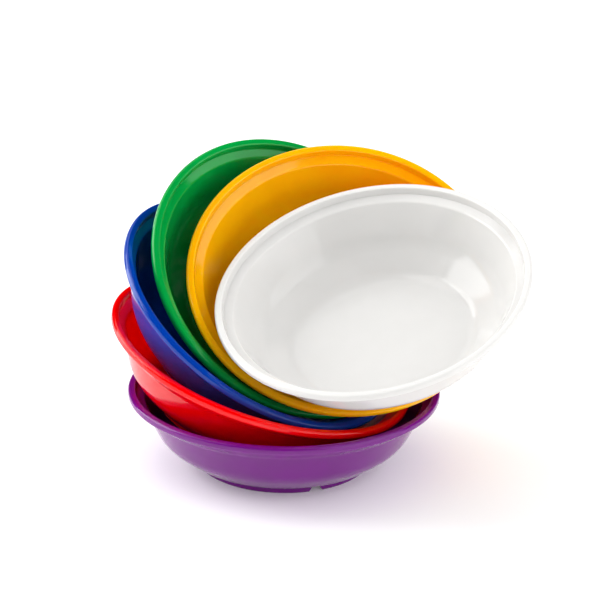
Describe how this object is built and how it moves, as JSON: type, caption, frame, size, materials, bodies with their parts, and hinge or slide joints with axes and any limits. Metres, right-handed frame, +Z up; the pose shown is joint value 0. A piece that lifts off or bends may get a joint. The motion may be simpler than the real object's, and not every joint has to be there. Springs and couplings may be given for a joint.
{
  "type": "nest of serving bowls",
  "caption": "Nest of round moulded serving bowls with stepped lips and notched foot rings, each leaning inside the one below and free to lift out.",
  "frame": {"origin": "centre of the whole nest's box, at the bottom of the lowest bowl's foot ring", "axes": "+Z up along the lowest bowl's axis, +X to the right of the front view, -Y towards the viewer"},
  "size_m": [0.3091, 0.2794, 0.2198],
  "materials": {
    "purple_melamine": "gloss-moulded purple melamine, coloured right through",
    "red_melamine": "gloss-moulded red melamine, coloured right through",
    "blue_melamine": "gloss-moulded blue melamine, coloured right through",
    "green_melamine": "gloss-moulded green melamine, coloured right through",
    "yellow_melamine": "gloss-moulded yellow melamine, coloured right through",
    "white_melamine": "gloss-moulded white melamine, coloured right through"
  },
  "bodies": {
    "purple_bowl": {"purple_bowl": "purple_melamine"},
    "red_bowl": {"red_bowl": "red_melamine"},
    "blue_bowl": {"blue_bowl": "blue_melamine"},
    "green_bowl": {"green_bowl": "green_melamine"},
    "yellow_bowl": {"yellow_bowl": "yellow_melamine"},
    "white_bowl": {"white_bowl": "white_melamine"}
  },
  "joints": [
    {"name": "red_lift", "type": "slide", "parent": "purple_bowl", "child": "red_bowl", "axis": [0, 0, 1], "range_m": [0, 0.06]},
    {"name": "blue_lift", "type": "slide", "parent": "red_bowl", "child": "blue_bowl", "axis": [0.2909, -0.0618, 0.9548], "range_m": [0, 0.06]},
    {"name": "green_lift", "type": "slide", "parent": "blue_bowl", "child": "green_bowl", "axis": [0.5091, -0.2417, 0.8261], "range_m": [0, 0.055]},
    {"name": "yellow_lift", "type": "slide", "parent": "green_bowl", "child": "yellow_bowl", "axis": [0.4173, -0.5829, 0.6972], "range_m": [0, 0.055]},
    {"name": "white_lift", "type": "slide", "parent": "yellow_bowl", "child": "white_bowl", "axis": [0.0568, -0.624, 0.7793], "range_m": [0, 0.05]}
  ]
}
